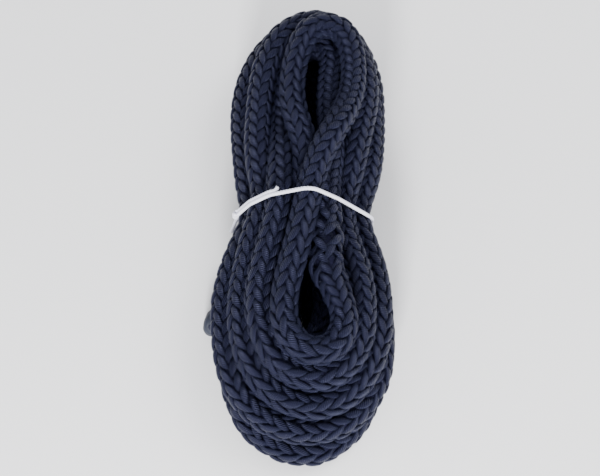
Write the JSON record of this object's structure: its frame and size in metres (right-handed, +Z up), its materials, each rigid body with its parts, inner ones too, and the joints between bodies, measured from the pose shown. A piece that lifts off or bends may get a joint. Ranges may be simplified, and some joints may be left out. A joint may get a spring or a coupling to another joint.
{
  "type": "coiled dock line",
  "caption": "Navy plaited dock line wound into an elongated hank, lying flat and tied round its waist with thin white string.",
  "frame": {"origin": "centre of the overall box, on the floor the hank lies on", "axes": "+Z up out of the floor; +Y along the hank from the lower, wider bight to the upper bight; +X across it"},
  "size_m": [0.117, 0.307, 0.0877],
  "materials": {
    "rope_cover": "satin",
    "rope_core": "matt",
    "sealed_end": "satin",
    "tie_string": "matt"
  },
  "bodies": {
    "root": {"rope_hank": "rope_cover", "outer_end": "rope_cover", "outer_end_seal": "sealed_end", "tie_loop": "tie_string", "tie_knot": "tie_string", "tie_front_tail": "tie_string", "tie_side_tail": "tie_string"}
  },
  "joints": []
}
